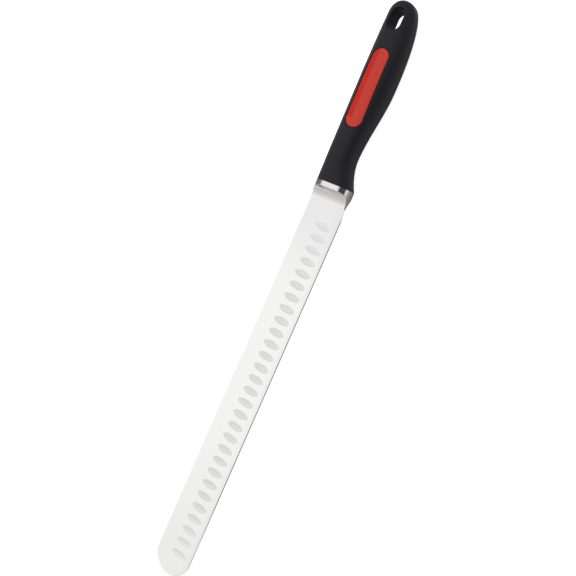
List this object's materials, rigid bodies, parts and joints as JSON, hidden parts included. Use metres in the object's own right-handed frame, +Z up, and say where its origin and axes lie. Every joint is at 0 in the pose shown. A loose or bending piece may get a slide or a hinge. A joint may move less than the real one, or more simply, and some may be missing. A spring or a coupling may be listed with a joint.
{
  "type": "carving knife",
  "caption": "Carving knife with a long scalloped blade, rounded tip, polished bolster and black handle with red inlays.",
  "frame": {"origin": "middle of the base of the knife's box, with the knife lying on its side", "axes": "+X from the tip to the butt, +Y from the cutting edge to the spine, +Z up through the thickness, out of the face with the full row of scallops"},
  "size_m": [0.4172, 0.0304, 0.0195],
  "materials": {
    "satin_steel": "satin",
    "polished_steel": "polished",
    "black_plastic": "satin",
    "red_inlay": "satin"
  },
  "bodies": {
    "root": {"blade": "satin_steel", "bolster": "polished_steel", "handle": "black_plastic", "inlay_left": "red_inlay", "inlay_right": "red_inlay"}
  },
  "joints": []
}
